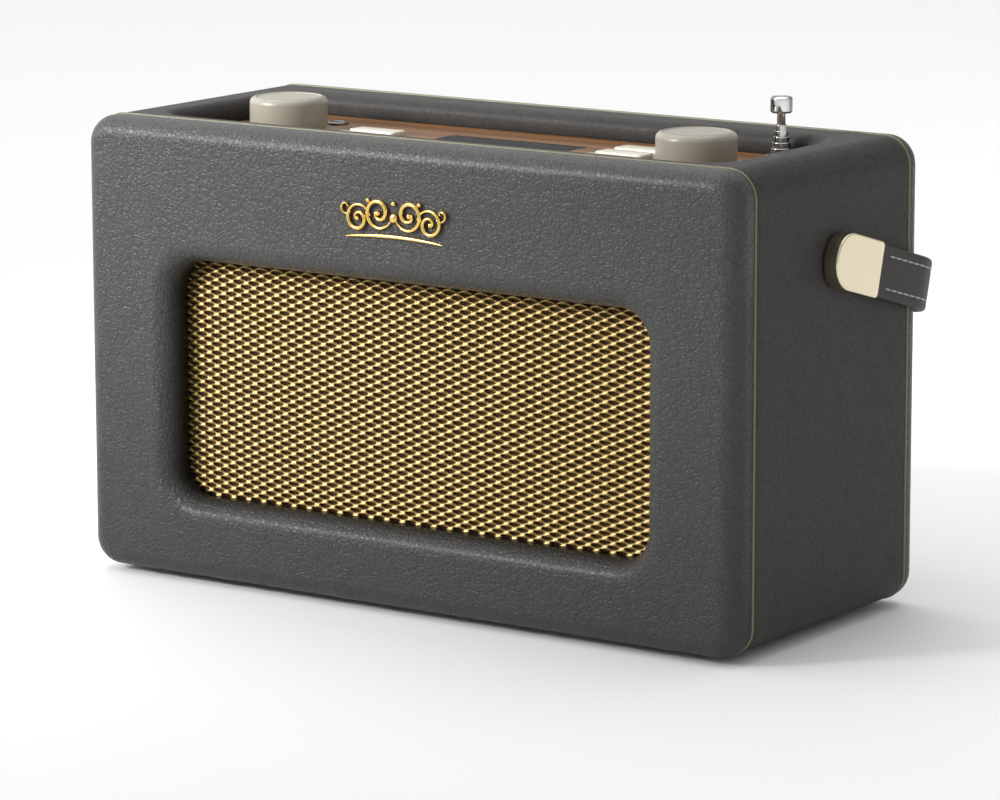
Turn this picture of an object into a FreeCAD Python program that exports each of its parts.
import FreeCAD, Part

# A leathercloth portable radio: a wooden cabinet in three covered sections, a metal speaker grille,
# a veneered control panel sunk in the top, a telescopic aerial and a strap handle on two brass ends.
#
# The row frame: +X to the radio's right as seen from the front, +Y to the back, +Z up. Z is 0 on the
# surface that the radio stands on, and the origin is the middle of the whole footprint, strap included.
# Everything is modelled about the cabinet's own middle, and each sub-part's Placement carries it forward
# by cabinet_y, so that the strap behind the back is inside the footprint. All sizes are in millimetres.

import Sketcher
import math
import os
import re

from FreeCAD import Placement, Rotation, Vector

# ---------------------------------------------------------------------------------- driving sizes
SIZES = {
    # cabinet
    "cabinet_width": 255.0,
    "cabinet_height": 152.0,
    "cabinet_depth": 112.0,
    "cabinet_y": -8.2,        # the cabinet's middle, forward of the origin
    "foot_height": 2.0,
    "foot_radius": 7.0,
    "foot_inset": 22.0,       # foot centre to the cabinet's side and to its front or back
    "corner_radius": 9.5,     # of the cabinet seen from the front
    "cover": 1.0,             # leathercloth
    "board": 8.0,             # sleeve board
    "front_depth": 10.6,      # front face to the front seam
    "back_depth": 8.0,        # back face to the back seam
    "front_round": 6.5,
    "back_round": 6.0,
    "inner_corner": 4.0,      # of the inside of the sleeve
    "spigot": 3.0,            # back frame reaches this far into the sleeve
    "slip": 0.2,              # clearance round what slides into something
    "piping_width": 1.2,
    "piping_proud": 0.4,
    "piping_tail": 5.0,
    # speaker opening and grille
    "opening_width": 186.4,
    "opening_low": 26.6,      # cabinet's underside to the opening
    "opening_high": 45.8,     # opening to the cabinet's top
    "opening_corner": 11.0,
    "opening_round": 7.0,
    "mesh_recess": 11.5,      # front face to the grille
    "mesh_thickness": 1.0,
    "mesh_lap": 4.0,          # grille behind the frame, all round
    "cloth_thickness": 0.4,
    "baffle_thickness": 4.0,
    "baffle_lap": 8.0,        # baffle beyond the grille, all round
    # speaker driver
    "driver_radius": 36.0,
    "driver_flange": 2.5,
    "driver_lap": 5.0,        # flange on the baffle
    "basket_depth": 18.0,
    "basket_wall": 1.5,
    "magnet_radius": 25.0,
    "magnet_depth": 12.0,
    "pole_radius": 12.0,
    "coil_gap": 1.5,
    "cone_wall": 0.6,
    "cone_travel": 1.0,
    "surround_width": 2.6,
    # control recess and panel
    "recess_width": 216.0,
    "recess_length": 70.0,    # front to back
    "recess_y": -2.2,
    "recess_corner": 10.0,
    "recess_round": 4.0,
    "panel_drop": 7.2,        # cabinet's top to the panel
    "panel_thickness": 2.0,
    "panel_gap": 0.4,
    "tray_depth": 14.0,
    "tray_wall": 1.2,
    "knob_spacing": 161.0,
    "knob_y": -5.1,
    "knob_radius": 13.0,
    "knob_top": 4.2,          # knob's top above the cabinet's top
    "knob_gap": 1.0,          # knob's skirt above the panel
    "knob_edge": 1.8,
    "knob_wall": 2.0,
    "knob_dish_radius": 10.9,
    "knob_dish": 0.3,
    "knob_top_wall": 3.4,
    "knob_boss": 5.0,
    "knob_boss_lift": 1.5,
    "shaft_radius": 3.0,
    "shaft_clear": 0.05,
    "bush_radius": 4.5,
    "bush_proud": 0.8,
    "encoder_width": 13.0,
    "shaft_lift": 1.4,        # control board to the shaft's end
    "plunger_radius": 2.4,
    "plunger_thickness": 0.7,
    "button_width": 18.5,
    "button_length": 8.0,
    "button_corner": 2.2,
    "button_proud": 1.8,
    "button_edge": 0.5,
    "button_gap": 0.25,
    "button_lip": 1.0,
    "button_lip_thickness": 1.2,
    "button_travel": 0.8,
    "button_rest": 0.15,      # more than the travel, from a button to its rubber mat
    "button_x": 48.9,
    "button_row_y": 1.75,     # second row from the back
    "button_pitch": 11.1,
    "window_width": 53.6,
    "window_length": 37.2,
    "window_y": -4.1,
    "window_corner": 2.0,
    "control_board": 1.6,
    "post_radius": 2.5,
    "post_inset": 12.0,
    "board_drop": 8.2,        # panel's top to the control board's top
    "jack_x": -75.5,
    "jack_y": 15.8,
    "jack_ring": 3.6,
    "jack_bore": 1.8,
    "jack_depth": 12.0,
    "jack_proud": 0.9,
    "jack_body": 3.0,
    # aerial
    "aerial_x": 92.1,
    "aerial_y": 27.2,
    "aerial_step": 1.85,      # each section stands this far out of the next
    "aerial_section": 104.0,  # length of each sliding tube
    "aerial_outer": 112.0,    # length of the fixed outer tube
    "aerial_radius": 3.9,     # outer tube
    "aerial_taper": 0.42,     # radius lost from one section to the next
    "aerial_wall": 0.34,
    "aerial_rod_show": 2.0,
    "aerial_cap_radius": 3.6,
    "aerial_cap_height": 5.3,
    "aerial_collar": 1.5,
    "aerial_collar_radius": 4.9,
    # strap handle
    "pivot_y": 2.9,
    "pivot_drop": 33.9,       # cabinet's top to the pivot
    "strap_width": 17.0,
    "strap_thickness": 2.6,
    "strap_reach": 71.6,      # pivot to the outside of the strap's cross run
    "strap_bend": 26.0,
    "strap_droop": 15.5,      # degrees below level, as stored
    "end_length": 19.0,       # pivot to the brass end's straight edge
    "end_radius": 9.1,
    "end_wall": 1.0,
    "end_gap": 0.4,           # brass end to the cabinet's side
    "end_height": 5.7,
    "pin_radius": 2.0,
    "pin_clear": 0.05,
    "pin_grip": 1.2,          # pin inside the brass end
    "bush_wall": 1.5,
    "pin_head_radius": 4.2,
    "pin_head": 2.5,
    "tongue_start": 4.0,      # pivot to the strap's tongue inside the brass end
    "tongue_width": 13.3,
    # badge
    "badge_width": 42.4,
    "badge_height": 15.0,
    "badge_thickness": 1.8,
    "badge_z": 127.5,         # above the cabinet's underside
    # back
    "rear_width": 190.0,
    "rear_height": 106.0,
    "rear_corner": 6.0,
    "rear_ledge": 5.0,
    "rear_panel": 2.5,
    "rear_inset": 1.0,        # back face to the rear panel
    "bay_width": 116.0,
    "bay_height": 31.0,
    "bay_low": 30.5,          # cabinet's underside to the battery bay
    "bay_depth": 15.5,
    "bay_wall": 1.5,
    "door_thickness": 2.0,
    "door_gap": 0.4,
    "door_edge": 0.98,        # round of the door's lower edge, by its hinge
    "door_pin": 0.6,
    "door_pin_reach": 1.3,
    "cell_radius": 7.25,
    "cell_length": 50.5,
    "cell_rib": 2.0,          # between the two cells of a row
    "contact_plate": 0.5,
    "port_radius": 12.0,
    "port_wall": 1.6,
    "port_length": 30.0,
    "port_lip": 3.5,
    "port_x": 68.0,
    "port_z": 78.0,           # above the cabinet's underside
    "screw_shank": 1.2,
    "screw_head": 2.1,
    "screw_inset": 4.0,       # rear panel's side edge to the screws
    "screw_head_height": 1.2,
    "screw_length": 6.0,
    "socket_z": 78.0,         # above the cabinet's underside
    "socket_pitch": 19.04,
    "socket_radius": 4.4,
    "socket_bore": 2.8,
    "socket_pin": 0.9,
    "socket_depth": 9.0,
    # main electronics
    "board_length": 150.0,
    "board_width": 56.0,
    "board_thickness": 1.6,
    "board_lift": 5.0,
}

doc = FreeCAD.newDocument("portable_radio")
sheet = doc.addObject("Spreadsheet::Sheet", "Sizes")
for row, (alias, value) in enumerate(SIZES.items(), start=1):
    sheet.set(f"A{row}", alias)
    sheet.set(f"B{row}", str(value))
    sheet.setAlias(f"B{row}", alias)
probe = doc.addObject("App::FeaturePython", "Probe")
probe.addProperty("App::PropertyFloat", "Value")
doc.recompute()

# levels and places that several sub-parts share, written in the names of the sizes
TOP = "(foot_height + cabinet_height)"
FRONT = "(-cabinet_depth / 2)"
BACK = "(cabinet_depth / 2)"
FRONT_SEAM = f"({FRONT} + front_depth)"
BACK_SEAM = f"({BACK} - back_depth)"
MIDDLE_Z = "(foot_height + cabinet_height / 2)"
OPENING_HEIGHT = "(cabinet_height - opening_low - opening_high)"
OPENING_Z = f"(foot_height + opening_low + {OPENING_HEIGHT} / 2)"
MESH_FRONT = f"({FRONT} + mesh_recess)"
BAFFLE_FRONT = f"({MESH_FRONT} + mesh_thickness + cloth_thickness)"
PANEL_TOP = f"({TOP} - panel_drop)"
PANEL_UNDER = f"({PANEL_TOP} - panel_thickness)"
CIRCUIT_TOP = f"({PANEL_TOP} - board_drop)"
KNOB_TOP = f"({TOP} + knob_top)"
KNOB_FOOT = f"({PANEL_TOP} + knob_gap)"
PIVOT_Z = f"({TOP} - pivot_drop)"
REAR_Z = MIDDLE_Z
REAR_OUT = f"({BACK} - rear_inset)"
REAR_IN = f"({REAR_OUT} - rear_panel)"
BAY_Z = "(foot_height + bay_low)"

NORMAL = {"XY": 1, "XZ": -1, "YZ": 1}     # which way each plane's sketches face along their axis
TURNS = {
    "X": Rotation(Vector(0, 1, 0), 90),
    "Y": Rotation(Vector(1, 0, 0), -90),
    "Z": Rotation(),
}

parts = []


# ---------------------------------------------------------------------------------- small helpers
def sized(expression):
    """The expression with each size's name pointed at its cell in the sheet."""
    return re.sub(r"[a-z][a-z_]*", lambda m: "Sizes." + m[0] if m[0] in SIZES else m[0], expression)


def number(expression):
    """What an expression in the sizes' names comes to, worked out by the document itself."""
    probe.setExpression("Value", sized(expression))
    probe.recompute()
    return probe.Value


def bind(thing, **properties):
    """Binds properties to expressions; x, y and z are the Placement's."""
    for name, expression in properties.items():
        path = f"Placement.Base.{name}" if name in "xyz" else name
        thing.setExpression(path, sized(expression))
    return thing


def keep(thing, label):
    """Marks a finished object as a sub-part and gives it its name."""
    thing.Label = label
    parts.append(thing)
    return thing


def new_body(name, x="0", y="0", z="0", turn=None):
    """A body whose own origin is at (x, y, z) from the cabinet's middle; turn is a Rotation."""
    body = doc.addObject("PartDesign::Body", name)
    body.Placement = Placement(Vector(), turn or Rotation())
    return bind(body, x=x, y=f"cabinet_y + ({y})", z=z)


def new_sketch(body, plane, level="0"):
    """A sketch on one of the body's own origin planes, at a level along the axis across that plane."""
    sketch = body.newObject("Sketcher::SketchObject", body.Name + "Sketch")
    planes = {feature.Role: feature for feature in body.Origin.OriginFeatures}
    sketch.AttachmentSupport = (planes[plane + "_Plane"], [""])
    sketch.MapMode = "FlatFace"
    sketch.setExpression("AttachmentOffset.Base.z", sized(f"{NORMAL[plane]} * ({level})"))
    return sketch


def dimension(sketch, kind, where, expression):
    """A dimension whose value follows an expression."""
    value = number(expression)
    at = sketch.addConstraint(Sketcher.Constraint(kind, *where, value))
    sketch.setExpression(f"Constraints[{at}]", sized(expression))


def rectangle(sketch, width, height, corner, cx="0", cy="0"):
    """A rectangle with round corners, centred on (cx, cy): four lines and four arcs, all tangent."""
    w, h, r = number(width) / 2, number(height) / 2, number(corner)
    x, y = number(cx), number(cy)
    first = sketch.GeometryCount
    ends = [
        ((x - w + r, y - h), (x + w - r, y - h)),
        ((x + w, y - h + r), (x + w, y + h - r)),
        ((x + w - r, y + h), (x - w + r, y + h)),
        ((x - w, y + h - r), (x - w, y - h + r)),
    ]
    low, high, left, right = y - h + r, y + h - r, x - w + r, x + w - r
    centres = [(right, low), (right, high), (left, high), (left, low)]
    for start, end in ends:
        sketch.addGeometry(Part.LineSegment(Vector(*start, 0), Vector(*end, 0)), False)
    for quarter, centre in enumerate(centres):
        circle = Part.Circle(Vector(*centre, 0), Vector(0, 0, 1), r)
        start = math.radians(90 * quarter - 90)
        sketch.addGeometry(Part.ArcOfCircle(circle, start, start + math.pi / 2), False)
    for side in range(4):
        line, arc, following = first + side, first + 4 + side, first + (side + 1) % 4
        sketch.addConstraint(Sketcher.Constraint("Tangent", line, 2, arc, 1))
        sketch.addConstraint(Sketcher.Constraint("Tangent", arc, 2, following, 1))
        sketch.addConstraint(Sketcher.Constraint(("Horizontal", "Vertical")[side % 2], line))
    for arc in range(first + 5, first + 8):
        sketch.addConstraint(Sketcher.Constraint("Equal", first + 4, arc))
    dimension(sketch, "Radius", (first + 4,), corner)
    dimension(sketch, "DistanceX", (first, 1, first, 2), f"({width}) - 2 * ({corner})")
    dimension(sketch, "DistanceY", (first + 1, 1, first + 1, 2), f"({height}) - 2 * ({corner})")
    dimension(sketch, "DistanceX", (-1, 1, first + 1, 1), f"({cx}) + ({width}) / 2")
    dimension(sketch, "DistanceY", (-1, 1, first, 1), f"({cy}) - ({height}) / 2")


def circle(sketch, radius, cx="0", cy="0"):
    centre = Vector(number(cx), number(cy), 0)
    at = sketch.addGeometry(Part.Circle(centre, Vector(0, 0, 1), number(radius)), False)
    dimension(sketch, "Radius", (at,), radius)
    dimension(sketch, "DistanceX", (-1, 1, at, 3), cx)
    dimension(sketch, "DistanceY", (-1, 1, at, 3), cy)


def polygon(sketch, points):
    """Straight lines through points, each an (across, along) pair of expressions."""
    places = [Vector(number(across), number(along), 0) for across, along in points]
    first = sketch.GeometryCount
    for at, place in enumerate(places):
        following = places[(at + 1) % len(places)]
        sketch.addGeometry(Part.LineSegment(place, following), False)
    for at, (across, along) in enumerate(points):
        following = first + (at + 1) % len(points)
        sketch.addConstraint(Sketcher.Constraint("Coincident", first + at, 2, following, 1))
        dimension(sketch, "DistanceX", (-1, 1, first + at, 1), across)
        dimension(sketch, "DistanceY", (-1, 1, first + at, 1), along)


def extrude(body, kind, plane, level, length, outlines):
    """A Pad or Pocket of outlines, each a drawing function and its sizes, that runs along the axis
    across the plane, from level, in the axis' positive direction. A Pocket runs against its sketch's
    normal of its own accord, so the two kinds are reversed on opposite planes."""
    sketch = new_sketch(body, plane, level)
    for draw, *sizes in outlines:
        draw(sketch, *sizes)
    made = body.newObject("PartDesign::" + kind, body.Name + kind)
    made.Profile = sketch
    made.setExpression("Length", sized(length))
    made.Reversed = (NORMAL[plane] < 0) == (kind == "Pad")
    body.Tip = made
    doc.recompute()


def add(body, plane, level, length, *outlines):
    extrude(body, "Pad", plane, level, length, outlines)


def cut(body, plane, level, length, *outlines):
    """A Pocket, which has to take something away."""
    before = body.Tip.Shape.Volume
    extrude(body, "Pocket", plane, level, length, outlines)
    if body.Tip.Shape.Volume > before - 1e-6:
        raise ValueError(f"{body.Name}: a cut took nothing away")


def turned(label, x, y, z, points, along="Z"):
    """A body of revolution about its own Z, from (radius, height) points; along is where its Z points."""
    body = new_body(label, x, y, z, TURNS[along])
    sketch = new_sketch(body, "XZ")
    polygon(sketch, points)
    made = body.newObject("PartDesign::Revolution", body.Name + "Revolution")
    made.Profile = sketch
    made.ReferenceAxis = (sketch, ["V_Axis"])
    made.Angle = 360
    body.Tip = made
    doc.recompute()
    return body


def soften(body, radius, chosen):
    """A Fillet of the edges that chosen(edge) picks on the body as it stands."""
    base = body.Tip
    names = [f"Edge{i}" for i, edge in enumerate(base.Shape.Edges, start=1) if chosen(edge)]
    if not names:
        raise ValueError(f"{body.Name}: no edge to soften")
    made = body.newObject("PartDesign::Fillet", body.Name + "Fillet")
    made.Base = (base, names)
    made.setExpression("Radius", sized(radius))
    body.Tip = made
    doc.recompute()


def near(a, b, within=0.01):
    return abs(a - b) < within


def flat_at(axis, level):
    """Picks the edges that lie wholly in the plane axis = level."""
    letter = "XYZ".index(axis)

    def chosen(edge):
        box = edge.BoundBox
        low, high = ((box.XMin, box.XMax), (box.YMin, box.YMax), (box.ZMin, box.ZMax))[letter]
        return near(low, level) and near(high, level)

    return chosen


def lies_within(edge, limits):
    """Whether an edge's ends are all closer to the body's own origin than each limit, by axis."""
    reach = {axis: number(limit) for axis, limit in limits.items()}
    ends = [end.Point for end in edge.Vertexes]
    return all(abs(getattr(end, axis)) < most for end in ends for axis, most in reach.items())


def level_edges(axis, level, within=None, beyond=None):
    """Picks the edges in one plane, and of those the ones within or beyond some limits."""
    in_plane = flat_at(axis, number(level))

    def chosen(edge):
        if not in_plane(edge):
            return False
        if within:
            return lies_within(edge, within)
        return not beyond or not lies_within(edge, beyond)

    return chosen


def block(name, x, y, z, length, width, height):
    """A Part box whose x and y are its middle and whose z is its foot."""
    made = doc.addObject("Part::Box", name)
    bind(made, Length=length, Width=width, Height=height)
    return bind(made, x=f"({x}) - ({length}) / 2", y=f"cabinet_y + ({y}) - ({width}) / 2", z=z)


def cylinder(name, x, y, z, radius, height, along="Z"):
    """A Part cylinder that starts at (x, y, z) and runs along +X, +Y or +Z."""
    made = doc.addObject("Part::Cylinder", name)
    made.Placement = Placement(Vector(), TURNS[along])
    bind(made, Radius=radius, Height=height)
    return bind(made, x=x, y=f"cabinet_y + ({y})", z=z)


def joined(name, shapes):
    made = doc.addObject("Part::MultiFuse", name)
    made.Shapes = shapes
    return made


def less(name, base, tools):
    """base with every tool cut away."""
    made = doc.addObject("Part::Cut", name)
    made.Base = base
    made.Tool = tools[0] if len(tools) == 1 else joined(name + "Tools", tools)
    return made


def group(name, shapes):
    """Separate solids in one sub-part."""
    made = doc.addObject("Part::Compound", name)
    made.Links = shapes
    return made


# ---------------------------------------------------------------------------------- the cabinet
SEAM_HALF = "(piping_width / 2)"
SLEEVE_LENGTH = f"({BACK_SEAM} - {FRONT_SEAM} - piping_width)"
IN_WIDTH = "(cabinet_width - 2 * (cover + board))"
IN_HEIGHT = "(cabinet_height - 2 * (cover + board))"
OUTSIDE = (rectangle, "cabinet_width", "cabinet_height", "corner_radius")
UNDER_COVER = (
    rectangle,
    "cabinet_width - 2 * cover",
    "cabinet_height - 2 * cover",
    "corner_radius - cover",
)
INSIDE_SLEEVE = (rectangle, IN_WIDTH, IN_HEIGHT, "inner_corner")
IN_SLEEVE_FIT = (rectangle, f"{IN_WIDTH} - 2 * slip", f"{IN_HEIGHT} - 2 * slip", "inner_corner")
MIDDLE_AREA = {"x": "cabinet_width / 2 - corner_radius", "z": "cabinet_height / 2 - corner_radius"}
RIM_WIDTH = "(recess_width + 2 * (recess_round + cover))"
RIM_LENGTH = "(recess_length + 2 * (recess_round + cover))"
RIM_CORNER = "(recess_corner + recess_round + cover)"
BUSH_OUTER = "(pin_radius + bush_wall)"


def opening(margin, centre_z):
    """The speaker opening's outline, a margin larger all round, seen from a level of centre_z."""
    return (
        rectangle,
        f"opening_width + 2 * ({margin})",
        f"{OPENING_HEIGHT} + 2 * ({margin})",
        f"opening_corner + ({margin})",
        "0",
        f"{OPENING_Z} - ({centre_z})",
    )


def rear_opening(margin="0"):
    return (
        rectangle,
        f"rear_width + 2 * ({margin})",
        f"rear_height + 2 * ({margin})",
        f"rear_corner + ({margin})",
    )


def make_sleeve(name, outer, inner):
    """A band round the cabinet between the seams, open at the top for the controls and at the sides
    for the handle's bushes."""
    origin_y = f"({FRONT_SEAM} + {SEAM_HALF})"
    body = new_body(name, y=origin_y, z=MIDDLE_Z)
    add(body, "XZ", "0", SLEEVE_LENGTH, outer, inner)
    rim = (rectangle, RIM_WIDTH, RIM_LENGTH, RIM_CORNER, "0", f"recess_y - {origin_y}")
    cut(body, "XY", "cabinet_height / 2 - cover - board - slip", "board + cover + 2 * slip", rim)
    bush = (circle, BUSH_OUTER, f"pivot_y - {origin_y}", f"{PIVOT_Z} - {MIDDLE_Z}")
    cut(body, "YZ", "-cabinet_width", "2 * cabinet_width", bush)
    return body


keep(make_sleeve("Sleeve", UNDER_COVER, INSIDE_SLEEVE), "sleeve_board")
keep(make_sleeve("SleeveCover", OUTSIDE, UNDER_COVER), "sleeve_cover")

# the covered rim that lines the control recess, rounded over at its mouth
rim = new_body("Rim", y="recess_y", z=PANEL_UNDER)
RIM_HEIGHT = "(panel_drop + panel_thickness)"
recess = (rectangle, "recess_width", "recess_length", "recess_corner")
add(rim, "XY", "0", RIM_HEIGHT, (rectangle, RIM_WIDTH, RIM_LENGTH, RIM_CORNER), recess)
mouth = {"x": "recess_width / 2 + cover", "y": "recess_length / 2 + cover"}
soften(rim, "recess_round", level_edges("Z", RIM_HEIGHT, within=mouth))
keep(rim, "recess_rim")

# front frame: a board with the speaker opening, stepped into the sleeve behind the seam
FRAME_DEPTH = f"(front_depth - cover - {SEAM_HALF})"
TO_MESH = "(mesh_recess - cover)"
frame = new_body("FrontFrame", y=f"{FRONT} + cover", z=MIDDLE_Z)
add(frame, "XZ", "0", FRAME_DEPTH, UNDER_COVER, opening("cover", MIDDLE_Z))
add(frame, "XZ", FRAME_DEPTH, f"{TO_MESH} - {FRAME_DEPTH}", IN_SLEEVE_FIT, opening("cover", MIDDLE_Z))
mesh_seat = opening("mesh_lap + slip", MIDDLE_Z)
add(frame, "XZ", TO_MESH, "mesh_thickness + cloth_thickness", IN_SLEEVE_FIT, mesh_seat)
soften(frame, "opening_round - cover", level_edges("Y", "0", within=MIDDLE_AREA))
soften(frame, "front_round - cover", level_edges("Y", "0", beyond=MIDDLE_AREA))
keep(frame, "front_frame")

# its leathercloth: the same shape one cover thickness larger, with the frame taken out of it
skin = new_body("FrontSkin", y=FRONT, z=MIDDLE_Z)
add(skin, "XZ", "0", f"front_depth - {SEAM_HALF}", OUTSIDE, opening("0", MIDDLE_Z))
lining_length = f"mesh_recess - front_depth + {SEAM_HALF}"
lining = (opening("cover", MIDDLE_Z), opening("0", MIDDLE_Z))
add(skin, "XZ", f"front_depth - {SEAM_HALF}", lining_length, *lining)
soften(skin, "opening_round", level_edges("Y", "0", within=MIDDLE_AREA))
soften(skin, "front_round", level_edges("Y", "0", beyond=MIDDLE_AREA))
keep(less("FrontCover", skin, [frame]), "front_cover")

# back frame: a board with a ledge for the rear panel and a spigot inside the sleeve
BACK_START = f"({BACK_SEAM} + {SEAM_HALF})"
BACK_FRAME_DEPTH = f"(back_depth - {SEAM_HALF} - cover)"
SEAT = f"({REAR_IN} - {BACK_START})"
back_frame = new_body("BackFrame", y=BACK_START, z=MIDDLE_Z)
add(back_frame, "XZ", "0", BACK_FRAME_DEPTH, UNDER_COVER, rear_opening("-rear_ledge"))
spigot_length = f"{SEAM_HALF} + spigot"
add(back_frame, "XZ", f"-({spigot_length})", spigot_length, IN_SLEEVE_FIT, rear_opening("-rear_ledge"))
soften(back_frame, "back_round - cover", level_edges("Y", BACK_FRAME_DEPTH, beyond=MIDDLE_AREA))
cut(back_frame, "XZ", SEAT, "back_depth", rear_opening())

back_skin = new_body("BackSkin", y=BACK_START, z=MIDDLE_Z)
add(back_skin, "XZ", "0", f"back_depth - {SEAM_HALF}", OUTSIDE, rear_opening())
BACK_FACE = f"back_depth - {SEAM_HALF}"
soften(back_skin, "back_round", level_edges("Y", BACK_FACE, beyond=MIDDLE_AREA))
keep(less("BackCover", back_skin, [back_frame]), "back_cover")

# piping: a bead proud of each seam, with a flat tail that reaches down into it
beads = []
for seam in (FRONT_SEAM, BACK_SEAM):
    piping = new_body("Piping", y=f"{seam} - {SEAM_HALF}", z=MIDDLE_Z)
    bead = (
        rectangle,
        "cabinet_width + 2 * piping_proud",
        "cabinet_height + 2 * piping_proud",
        "corner_radius + piping_proud",
    )
    tail = (
        rectangle,
        "cabinet_width - 2 * piping_tail",
        "cabinet_height - 2 * piping_tail",
        "corner_radius - piping_tail",
    )
    add(piping, "XZ", "0", "piping_width", bead, tail)
    for side in ("0", "piping_width"):
        soften(piping, "piping_proud", level_edges("Y", side, beyond=MIDDLE_AREA | {
            "x": "cabinet_width / 2 - corner_radius / 4",
            "z": "cabinet_height / 2 - corner_radius / 4",
        }))
    beads.append(piping)
keep(group("PipingPair", beads), "piping")

# feet, one near each corner
feet = []
for side in (-1, 1):
    for end in (-1, 1):
        x = f"{side} * (cabinet_width / 2 - foot_inset)"
        y = f"{end} * (cabinet_depth / 2 - foot_inset)"
        feet.append(cylinder("Foot", x, y, "0", "foot_radius", "foot_height"))
keep(group("Feet", feet), "feet")


# ---------------------------------------------------------------------------------- grille and driver
def sheet_of(label, y, thickness, margin):
    """A flat sheet behind the speaker opening, a margin larger than it all round."""
    body = new_body(label.title().replace("_", ""), y=y, z=OPENING_Z)
    add(body, "XZ", "0", thickness, opening(margin, OPENING_Z))
    return body


keep(sheet_of("grille_mesh", MESH_FRONT, "mesh_thickness", "mesh_lap"), "grille_mesh")
cloth_y = f"({MESH_FRONT} + mesh_thickness)"
keep(sheet_of("speaker_cloth", cloth_y, "cloth_thickness", "mesh_lap"), "speaker_cloth")

baffle = sheet_of("baffle", BAFFLE_FRONT, "baffle_thickness", "mesh_lap + baffle_lap")
cut(baffle, "XZ", "0", "baffle_thickness", (circle, "driver_radius - driver_lap"))
keep(baffle, "baffle")

DRIVER_Y = f"({BAFFLE_FRONT} + baffle_thickness)"
FLANGE_IN = "(driver_radius - driver_lap)"
COIL_OUT = "(pole_radius + coil_gap)"
keep(turned("Basket", "0", DRIVER_Y, OPENING_Z, [
    (FLANGE_IN, "0"),
    ("driver_radius", "0"),
    ("driver_radius", "driver_flange"),
    (f"{FLANGE_IN} + basket_wall", "driver_flange"),
    ("magnet_radius - basket_wall", "basket_depth"),
    (COIL_OUT, "basket_depth"),
    (COIL_OUT, "basket_depth - basket_wall"),
    ("magnet_radius - 2.5 * basket_wall", "basket_depth - basket_wall"),
    (FLANGE_IN, "driver_flange"),
], along="Y"), "driver_basket")
keep(turned("Magnet", "0", DRIVER_Y, OPENING_Z, [
    ("0", "basket_depth - 3 * coil_gap"),
    ("pole_radius", "basket_depth - 3 * coil_gap"),
    ("pole_radius", "basket_depth + magnet_depth - 2 * coil_gap"),
    (COIL_OUT, "basket_depth + magnet_depth - 2 * coil_gap"),
    (COIL_OUT, "basket_depth"),
    ("magnet_radius", "basket_depth"),
    ("magnet_radius", "basket_depth + magnet_depth"),
    ("0", "basket_depth + magnet_depth"),
], along="Y"), "driver_magnet")
CONE_EDGE = f"({FLANGE_IN} - surround_width)"
COIL_IN = "(pole_radius + coil_gap / 4)"
COIL_OUTSIDE = f"({COIL_IN} + cone_wall)"
CAP_LEVEL = "(basket_depth / 2)"
keep(turned("Cone", "0", DRIVER_Y, OPENING_Z, [
    ("0", f"{CAP_LEVEL} - cone_wall"),
    (COIL_OUTSIDE, f"{CAP_LEVEL} - cone_wall"),
    (CONE_EDGE, "cone_travel + slip"),
    (CONE_EDGE, "cone_travel + slip + cone_wall"),
    (COIL_OUTSIDE, CAP_LEVEL),
    (COIL_OUTSIDE, "basket_depth + magnet_depth / 2"),
    (COIL_IN, "basket_depth + magnet_depth / 2"),
    (COIL_IN, CAP_LEVEL),
    ("0", CAP_LEVEL),
], along="Y"), "driver_cone")
keep(turned("Surround", "0", DRIVER_Y, OPENING_Z, [
    (f"{CONE_EDGE} + 2 * slip", "cone_travel"),
    (FLANGE_IN, "cone_travel / 2"),
    (FLANGE_IN, "cone_travel / 2 + cone_wall"),
    (f"{CONE_EDGE} + 2 * slip", "cone_travel + cone_wall"),
], along="Y"), "cone_surround")

# badge: a plain rounded plaque on the front
badge = new_body("Badge", y=f"{FRONT} - badge_thickness", z="foot_height + badge_z")
plaque = (rectangle, "badge_width", "badge_height", "badge_height / 2 - slip")
add(badge, "XZ", "0", "badge_thickness", plaque)
soften(badge, "badge_thickness / 4", flat_at("Y", 0))
keep(badge, "badge")


# ---------------------------------------------------------------------------------- controls
BUSH_HOLE = "(bush_radius + slip)"
KNOBS = (("volume", -1), ("select", 1))
LEFT_ROWS = (0, 1, 2)
RIGHT_ROWS = (-1, 0, 1, 2)
BUTTONS = [(-1, row) for row in LEFT_ROWS] + [(1, row) for row in RIGHT_ROWS]
LIP_UNDER = f"({PANEL_UNDER} - button_lip_thickness)"
RECESS_FIT = (
    rectangle,
    "recess_width - 2 * panel_gap",
    "recess_length - 2 * panel_gap",
    "recess_corner - panel_gap",
)


def knob_x(side):
    return f"{side} * knob_spacing / 2"


def button_y(row):
    return f"(button_row_y - {row} * button_pitch)"


panel = new_body("Panel", y="recess_y", z=PANEL_UNDER)
holes = [(circle, BUSH_HOLE, knob_x(side), "knob_y - recess_y") for _, side in KNOBS]
holes += [(circle, "jack_body", "jack_x", "jack_y - recess_y")]
holes += [(circle, "aerial_radius", "aerial_x", "aerial_y - recess_y")]
holes += [(rectangle, "window_width", "window_length", "window_corner", "0", "window_y - recess_y")]
for side, row in BUTTONS:
    holes.append((
        rectangle,
        "button_width + 2 * button_gap",
        "button_length + 2 * button_gap",
        "button_corner + button_gap",
        f"{side} * button_x",
        f"{button_y(row)} - recess_y",
    ))
add(panel, "XY", "0", "panel_thickness", RECESS_FIT, *holes)
keep(panel, "control_panel")

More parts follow.
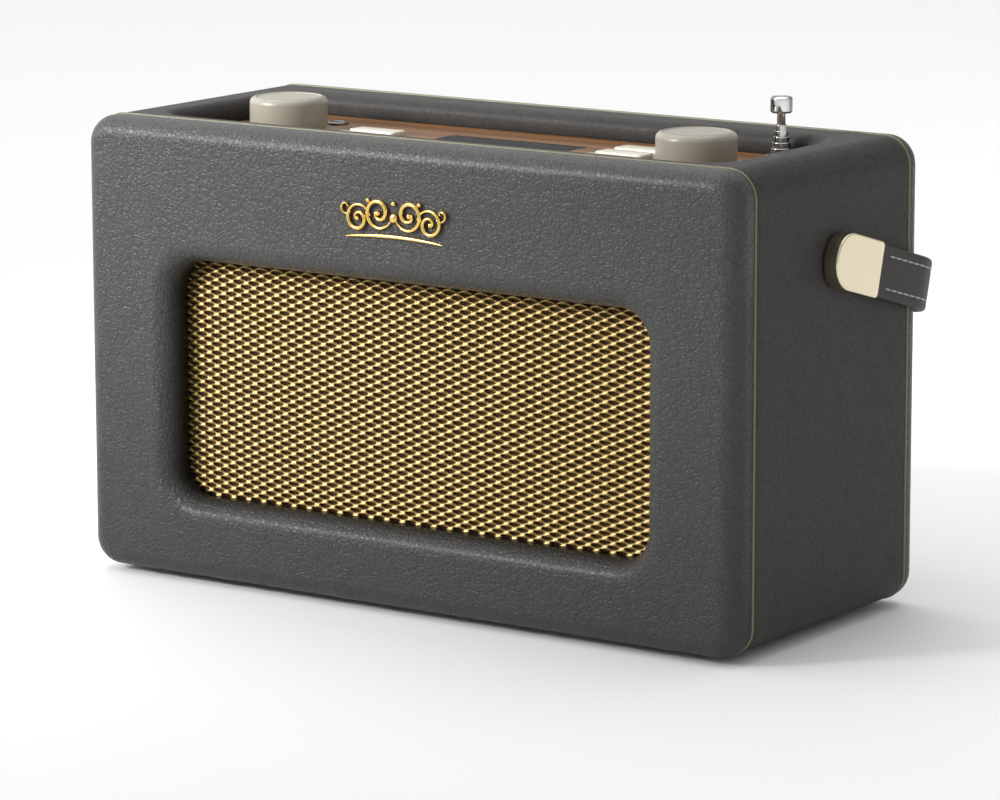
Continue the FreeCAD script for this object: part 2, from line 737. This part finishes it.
# the tray under the panel, which holds the control board on four posts
TRAY_FLOOR = f"({PANEL_UNDER} - tray_depth)"
TRAY_IN = (
    rectangle,
    "recess_width - 2 * (panel_gap + tray_wall)",
    "recess_length - 2 * (panel_gap + tray_wall)",
    "recess_corner - panel_gap - tray_wall",
)
aerial_hole = (circle, "aerial_radius", "aerial_x", "aerial_y - recess_y")
tray = new_body("Tray", y="recess_y", z=TRAY_FLOOR)
add(tray, "XY", "0", "tray_wall", RECESS_FIT, aerial_hole)
add(tray, "XY", "tray_wall", "tray_depth - tray_wall", RECESS_FIT, TRAY_IN)
keep(tray, "control_tray")

CIRCUIT_FIT = (
    rectangle,
    "recess_width - 2 * (panel_gap + tray_wall + slip)",
    "recess_length - 2 * (panel_gap + tray_wall + slip)",
    "recess_corner - panel_gap - tray_wall - slip",
)
circuit = new_body("Circuit", y="recess_y", z=f"{CIRCUIT_TOP} - control_board")
jack_hole = (circle, "jack_body + slip", "jack_x", "jack_y - recess_y")
aerial_way = (circle, "aerial_radius + slip", "aerial_x", "aerial_y - recess_y")
add(circuit, "XY", "0", "control_board", CIRCUIT_FIT, jack_hole)
cut(circuit, "XY", "0", "control_board", aerial_way)
keep(circuit, "control_board")

# the back pair of posts stands halfway along the tray, clear of the aerial
posts = []
post_foot = f"({TRAY_FLOOR} + tray_wall)"
post_height = f"{CIRCUIT_TOP} - control_board - {post_foot}"
for side in (-1, 1):
    x = f"{side} * (recess_width / 2 - post_inset)"
    for y in ("recess_y - (recess_length / 2 - post_inset)", "recess_y"):
        posts.append(cylinder("Post", x, y, post_foot, "post_radius", post_height))

# display
window = new_body("Window", y="window_y", z=PANEL_UNDER)
pane = (rectangle, "window_width", "window_length", "window_corner")
add(window, "XY", "0", "panel_thickness", pane)
keep(window, "display_window")
module_height = f"{PANEL_UNDER} - {CIRCUIT_TOP}"
module = block("Module", "0", "window_y", CIRCUIT_TOP, "window_width", "window_length", module_height)
keep(module, "display_module")

# buttons: a cap through the panel on a lip under it, over a rubber mat that springs it back
for side, row in BUTTONS:
    column = {-1: "left", 1: "right"}[side]
    number_in_column = (LEFT_ROWS if side < 0 else RIGHT_ROWS).index(row) + 1
    button = new_body("Button", f"{side} * button_x", button_y(row), LIP_UNDER)
    lip = (
        rectangle,
        "button_width + 2 * button_lip",
        "button_length + 2 * button_lip",
        "button_corner + button_lip",
    )
    add(button, "XY", "0", "button_lip_thickness", lip)
    cap_height = "panel_thickness + button_proud"
    cap = (rectangle, "button_width", "button_length", "button_corner")
    add(button, "XY", "button_lip_thickness", cap_height, cap)
    top = f"button_lip_thickness + {cap_height}"
    soften(button, "button_edge", level_edges("Z", top))
    keep(button, f"button_{column}_{number_in_column}")

MAT_HEIGHT = f"({LIP_UNDER} - button_travel - button_rest - {CIRCUIT_TOP})"
mats = []
for side, rows in ((-1, LEFT_ROWS), (1, RIGHT_ROWS)):
    middle = f"(button_row_y - {sum(rows) / len(rows)} * button_pitch)"
    length = f"{len(rows)} * button_pitch"
    x = f"{side} * button_x"
    mats.append(block("KeyMat", x, middle, CIRCUIT_TOP, "button_width", length, MAT_HEIGHT))
keep(group("KeyMats", mats), "key_mats")

# two encoders, their shafts and knobs; the right one's shaft also presses a switch
KNOB_HEIGHT = f"({KNOB_TOP} - {KNOB_FOOT})"
BORE_TOP = f"({KNOB_HEIGHT} - knob_top_wall)"
SHAFT_FOOT = f"({CIRCUIT_TOP} + shaft_lift)"
SHAFT_LENGTH = f"({KNOB_FOOT} + {BORE_TOP} - {SHAFT_FOOT})"
CASE_HEIGHT = f"({PANEL_UNDER} - {CIRCUIT_TOP})"
BORE_RADIUS = "shaft_radius + shaft_clear"
encoders = []
for name, side in KNOBS:
    x = knob_x(side)
    case = block("Case", x, "knob_y", CIRCUIT_TOP, "encoder_width", "encoder_width", CASE_HEIGHT)
    bush = cylinder("Bush", x, "knob_y", CIRCUIT_TOP, "bush_radius", "board_drop + bush_proud")
    bore = cylinder("Bore", x, "knob_y", CIRCUIT_TOP, BORE_RADIUS, "board_drop + 2 * bush_proud")
    encoders.append(less("Encoder", joined("EncoderBlock", [case, bush]), [bore]))

    shaft = cylinder("Shaft", x, "knob_y", SHAFT_FOOT, "shaft_radius", SHAFT_LENGTH)
    keep(shaft, f"{name}_shaft")

    knob = new_body(name.title() + "Knob", x, "knob_y", KNOB_FOOT)
    add(knob, "XY", "0", KNOB_HEIGHT, (circle, "knob_radius"))
    soften(knob, "knob_edge", level_edges("Z", KNOB_HEIGHT))
    cut(knob, "XY", f"{KNOB_HEIGHT} - knob_dish", "knob_dish", (circle, "knob_dish_radius"))
    cut(knob, "XY", "0", "knob_boss_lift", (circle, "knob_radius - knob_wall"))
    hollow = f"{BORE_TOP} - knob_boss_lift"
    cut(knob, "XY", "knob_boss_lift", hollow, (circle, "knob_radius - knob_wall"), (circle, "knob_boss"))
    cut(knob, "XY", "knob_boss_lift", hollow, (circle, "shaft_radius"))
    keep(knob, f"{name}_knob")
keep(group("Encoders", encoders), "encoders")

plunger_z = f"{SHAFT_FOOT} - plunger_thickness"
plunger = cylinder("Plunger", knob_x(1), "knob_y", plunger_z, "plunger_radius", "plunger_thickness")
keep(plunger, "select_plunger")

# headphone socket, with a ring on the panel
ring = cylinder("JackRing", "jack_x", "jack_y", PANEL_TOP, "jack_ring", "jack_proud")
barrel = cylinder("JackBody", "jack_x", "jack_y", f"{PANEL_TOP} - jack_depth", "jack_body", "jack_depth")
bore_z = f"{PANEL_TOP} - jack_depth + jack_proud"
bore = cylinder("JackBore", "jack_x", "jack_y", bore_z, "jack_bore", "jack_depth + jack_proud")
keep(less("Jack", joined("JackBlock", [ring, barrel]), [bore]), "headphone_socket")


# ---------------------------------------------------------------------------------- aerial
def tube(name, z, radius, height, wall):
    """An upright tube on the aerial's axis, open at both ends."""
    outer = cylinder(name + "Outer", "aerial_x", "aerial_y", z, radius, height)
    inner = cylinder(name + "Inner", "aerial_x", "aerial_y", z, f"{radius} - {wall}", height)
    return less(name, outer, [inner])


TUBE_TOP = f"({PANEL_TOP} + aerial_collar)"
SLIDING = (1, 2, 3, 4, 5)
LAST = len(SLIDING) + 1
base_foot = f"{TUBE_TOP} - aerial_outer"
keep(tube("AerialBase", base_foot, "aerial_radius", "aerial_outer", "aerial_wall"), "aerial_base")
for place in SLIDING:
    foot = f"{TUBE_TOP} + {place} * aerial_step - aerial_section"
    radius = f"(aerial_radius - {place} * aerial_taper)"
    keep(tube(f"Aerial{place}", foot, radius, "aerial_section", "aerial_wall"), f"aerial_section_{place}")
ROD_TOP = f"({TUBE_TOP} + {LAST} * aerial_step + aerial_rod_show)"
rod_radius = f"aerial_radius - {LAST} * aerial_taper"
rod = cylinder("Rod", "aerial_x", "aerial_y", f"{ROD_TOP} - aerial_section", rod_radius, "aerial_section")
tip = cylinder("Tip", "aerial_x", "aerial_y", ROD_TOP, "aerial_cap_radius", "aerial_cap_height")
keep(joined("TippedRod", [rod, tip]), "aerial_rod")
collar_wall = "(aerial_collar_radius - aerial_radius)"
collar = tube("Collar", PANEL_TOP, "aerial_collar_radius", "aerial_collar", collar_wall)
keep(collar, "aerial_collar")


# ---------------------------------------------------------------------------------- strap handle
STRAP_OUT = "(cabinet_width / 2 + end_height - end_wall)"
STRAP_START = "end_length"


def on_arm(name):
    """A body whose origin is on the handle's pivot line, and whose Y runs along its arms."""
    body = new_body(name, y="pivot_y", z=PIVOT_Z, turn=Rotation(Vector(1, 0, 0), 1))
    body.setExpression("Placement.Rotation.Angle", sized("-strap_droop"))
    return body


strap = on_arm("Strap")
band = (rectangle, f"2 * {STRAP_OUT}", "2 * strap_reach", "strap_bend")
hole = (
    rectangle,
    f"2 * ({STRAP_OUT} - strap_thickness)",
    "2 * (strap_reach - strap_thickness)",
    "strap_bend - strap_thickness",
)
add(strap, "XY", "-strap_width / 2", "strap_width", band, hole)
front_half = (
    rectangle,
    "2 * cabinet_width",
    "2 * strap_reach",
    "slip",
    "0",
    f"{STRAP_START} - strap_reach",
)
cut(strap, "XY", "-strap_width", "2 * strap_width", front_half)
TONGUE_X = f"({STRAP_OUT} - strap_thickness / 2)"
TONGUE_LENGTH = f"({STRAP_START} + strap_thickness - tongue_start)"
tongues = [
    (
        rectangle,
        "strap_thickness",
        TONGUE_LENGTH,
        "slip",
        f"{side} * {TONGUE_X}",
        f"tongue_start + {TONGUE_LENGTH} / 2",
    )
    for side in (-1, 1)
]
add(strap, "XY", "-tongue_width / 2", "tongue_width", *tongues)
keep(strap, "handle_strap")

END_THICKNESS = "(end_height - end_gap)"
pins, bushes = [], []
for label, side in (("left", -1), ("right", 1)):
    inner = f"{side} * (cabinet_width / 2 + end_gap)"
    foot = f"{inner} - {(1 - side) / 2} * {END_THICKNESS}"
    end = on_arm("End" + label.title())
    straight = (rectangle, "end_length", "2 * end_radius", "end_wall", "end_length / 2", "0")
    add(end, "YZ", foot, END_THICKNESS, straight)
    add(end, "YZ", foot, END_THICKNESS, (circle, "end_radius"))
    slot_start = f"{side} * {TONGUE_X} - strap_thickness / 2"
    slot_length = "(end_length - tongue_start)"
    slot = (rectangle, slot_length, "tongue_width", "slip", f"tongue_start + {slot_length} / 2", "0")
    cut(end, "YZ", slot_start, "strap_thickness", slot)
    grip_start = f"{inner} - {(1 - side) / 2} * pin_grip"
    cut(end, "YZ", grip_start, "pin_grip", (circle, "pin_radius"))
    outer_face = number(f"{side} * (cabinet_width / 2 + end_height)")
    soften(end, "end_wall / 2", flat_at("X", outer_face))
    keep(end, f"handle_end_{label}")

    # a headed pin from inside the cabinet, through its bush, into the brass end
    pin_length = "board + cover + end_gap + pin_grip + slip"
    pin_end = f"{side} * (cabinet_width / 2 + end_gap + pin_grip)"
    pin_x = f"{pin_end} - {(1 + side) / 2} * ({pin_length})"
    shank = cylinder("Pin", pin_x, "pivot_y", PIVOT_Z, "pin_radius", pin_length, "X")
    head_x = f"{side} * ({IN_WIDTH} / 2 - slip) - {(1 + side) / 2} * pin_head"
    head = cylinder("PinHead", head_x, "pivot_y", PIVOT_Z, "pin_head_radius", "pin_head", "X")
    pins.append(joined("HeadedPin", [shank, head]))
    bush_x = f"{side} * {IN_WIDTH} / 2 - {(1 - side) / 2} * (board + cover)"
    bush = cylinder("BushBlank", bush_x, "pivot_y", PIVOT_Z, BUSH_OUTER, "board + cover", "X")
    bore_radius = "pin_radius + pin_clear"
    bush_bore = cylinder("BushBore", bush_x, "pivot_y", PIVOT_Z, bore_radius, "board + cover", "X")
    bushes.append(less("SideBush", bush, [bush_bore]))
keep(group("Pins", pins), "handle_pins")
keep(group("Bushes", bushes), "handle_bushes")


# ---------------------------------------------------------------------------------- rear panel
BAY_MIDDLE = f"({BAY_Z} + bay_height / 2 - {REAR_Z})"
PORT_UP = f"(foot_height + port_z - {REAR_Z})"
SOCKET_Z = "(foot_height + socket_z)"
SOCKETS = [f"({place} * socket_pitch - port_x)" for place in range(3)]   # across the panel from the port


def bay(margin, corner):
    width = f"bay_width + 2 * ({margin})"
    height = f"bay_height + 2 * ({margin})"
    return (rectangle, width, height, corner, "0", BAY_MIDDLE)


rear = new_body("Rear", y=REAR_IN, z=REAR_Z)
holes = [bay("0", "door_thickness / 2"), (circle, "port_radius + port_wall", "port_x", PORT_UP)]
holes += [(circle, "socket_radius", x, f"{SOCKET_Z} - {REAR_Z}") for x in SOCKETS]
add(rear, "XZ", "0", "rear_panel", rear_opening("-slip"), *holes)
add(rear, "XZ", "-bay_depth", "bay_depth", bay("bay_wall", "bay_wall"), bay("0", "door_thickness / 2"))
add(rear, "XZ", "-bay_depth - bay_wall", "bay_wall", bay("bay_wall", "bay_wall"))
HINGE_Z = f"({BAY_Z} + door_gap + door_thickness / 2)"
HINGE_Y = f"({REAR_OUT} - door_thickness / 2)"
pin_hole = (circle, "door_pin + shaft_clear", f"{HINGE_Y} - {REAR_IN}", f"{HINGE_Z} - {REAR_Z}")
hole_reach = "(bay_width / 2 + door_pin_reach + slip)"
cut(rear, "YZ", f"-{hole_reach}", f"2 * {hole_reach}", pin_hole)

# six screws hold it to the ledge
screws = []
for side in (-1, 0, 1):
    for end in (-1, 1):
        x = f"{side} * (rear_width / 2 - screw_inset)"
        z = f"{REAR_Z} + {end} * (rear_height / 2 - rear_ledge / 2)"
        head_y = f"{REAR_OUT} - screw_head_height"
        head = cylinder("Head", x, head_y, z, "screw_head", "screw_head_height", "Y")
        shank = cylinder("Shank", x, f"{REAR_OUT} - screw_length", z, "screw_shank", "screw_length", "Y")
        screws.append(joined("RearScrew", [head, shank]))
rear_screws = keep(group("RearScrews", screws), "rear_screws")
keep(less("RearPanel", rear, [rear_screws]), "rear_panel")
keep(less("BackBoard", back_frame, [rear_screws]), "back_frame")

# battery door: hinged on two short pins along its lower edge, which is round so that it can swing
door = new_body("Door", y=HINGE_Y, z=HINGE_Z)
door_height = "(bay_height - 2 * door_gap)"
leaf = (
    rectangle,
    "bay_width - 2 * door_gap",
    door_height,
    "door_thickness / 2",
    "0",
    f"{door_height} / 2 - door_thickness / 2",
)
add(door, "XZ", "-door_thickness / 2", "door_thickness", leaf)
low_edge = {"z": "door_thickness"}
for face in ("-door_thickness / 2", "door_thickness / 2"):
    soften(door, "door_edge", level_edges("Y", face, within=low_edge))
PIN_REACH = "(bay_width / 2 + door_pin_reach)"
add(door, "YZ", f"-{PIN_REACH}", f"2 * {PIN_REACH}", (circle, "door_pin"))
keep(door, "battery_door")

# four cells in two rows, with a plate and a cone spring at each outer end
CELL_Y = f"({REAR_IN} - bay_depth + cell_radius)"
CELL_START = "(cell_rib / 2)"
CELL_END = f"({CELL_START} + cell_length)"
cells, contacts = [], []
for side in (-1, 1):
    for z in (f"{BAY_Z} + cell_radius", f"{BAY_Z} + bay_height - cell_radius"):
        x = CELL_START if side > 0 else f"-{CELL_END}"
        cells.append(cylinder("Cell", x, CELL_Y, z, "cell_radius", "cell_length", "X"))
        plate_x = f"{side} * (bay_width / 2 - contact_plate / 2)"
        plate_z = f"{z} - cell_radius / 2"
        backing = block("Contact", plate_x, CELL_Y, plate_z, "contact_plate", "cell_radius", "cell_radius")
        spring_length = f"(bay_width / 2 - contact_plate - {CELL_END})"
        spring_x = CELL_END if side > 0 else f"-{CELL_END} - {spring_length}"
        spring = cylinder("CellSpring", spring_x, CELL_Y, z, "cell_radius / 3", spring_length, "X")
        contacts.append(joined("CellContact", [backing, spring]))
keep(group("Cells", cells), "battery_cells")
keep(group("Contacts", contacts), "battery_contacts")

keep(turned("Port", "port_x", f"{REAR_OUT} - port_length", "foot_height + port_z", [
    ("port_radius", "0"),
    ("port_radius + port_wall", "0"),
    ("port_radius + port_wall", "port_length"),
    ("port_radius + port_lip", "port_length"),
    ("port_radius + port_lip", "port_length + rear_inset / 2"),
    ("port_radius", "port_length + rear_inset"),
], along="Y"), "bass_port")

SOCKET_START = f"({REAR_OUT} - socket_depth)"
line_sockets = []
for x in SOCKETS:
    powered = x == SOCKETS[0]
    bore_radius = "socket_bore" if powered else "jack_bore"
    barrel = cylinder("SocketBody", x, SOCKET_START, SOCKET_Z, "socket_radius", "socket_depth", "Y")
    bore_start = f"{SOCKET_START} + rear_panel"
    bore = cylinder("SocketBore", x, bore_start, SOCKET_Z, bore_radius, "socket_depth", "Y")
    socket = less("Socket", barrel, [bore])
    if powered:
        needle_length = "socket_depth - rear_panel"
        needle_start = f"{SOCKET_START} + rear_panel / 2"
        needle = cylinder("SocketPin", x, needle_start, SOCKET_Z, "socket_pin", needle_length, "Y")
        keep(joined("PinSocket", [socket, needle]), "power_inlet")
    else:
        line_sockets.append(socket)
keep(group("LineSockets", line_sockets), "line_sockets")


# ---------------------------------------------------------------------------------- main electronics
FLOOR = "(foot_height + cover + board)"
BOARD_Z = f"({FLOOR} + board_lift)"
main = block("MainBoard", "0", "0", BOARD_Z, "board_length", "board_width", "board_thickness")
keep(main, "main_board")
for side in (-1, 1):
    for end in (-1, 1):
        x = f"{side} * (board_length / 2 - 2 * post_radius)"
        y = f"{end} * (board_width / 2 - 2 * post_radius)"
        posts.append(cylinder("BoardPost", x, y, FLOOR, "post_radius", "board_lift"))
keep(group("BoardPosts", posts), "board_posts")


# ---------------------------------------------------------------------------------- checks and files
doc.recompute()
for thing in doc.Objects:
    if "Invalid" in thing.State or "Error" in thing.State:
        raise ValueError(f"{thing.Name} ({thing.Label}) is {thing.State}")
for part in parts:
    if part.Shape.isNull() or not part.Shape.isValid():
        raise ValueError(f"{part.Label} has no valid shape")

os.makedirs("parts", exist_ok=True)
for part in parts:
    part.Shape.exportStep(f"parts/{part.Label}.step")
whole = FreeCAD.BoundBox()
for part in parts:
    whole.add(part.Shape.BoundBox)
print(f"{len(parts)} sub-parts, {whole.XLength:.1f} x {whole.YLength:.1f} x {whole.ZLength:.1f} mm")
print(f"box centre {whole.Center.x:.2f}, {whole.Center.y:.2f}; lowest {whole.ZMin:.2f}")
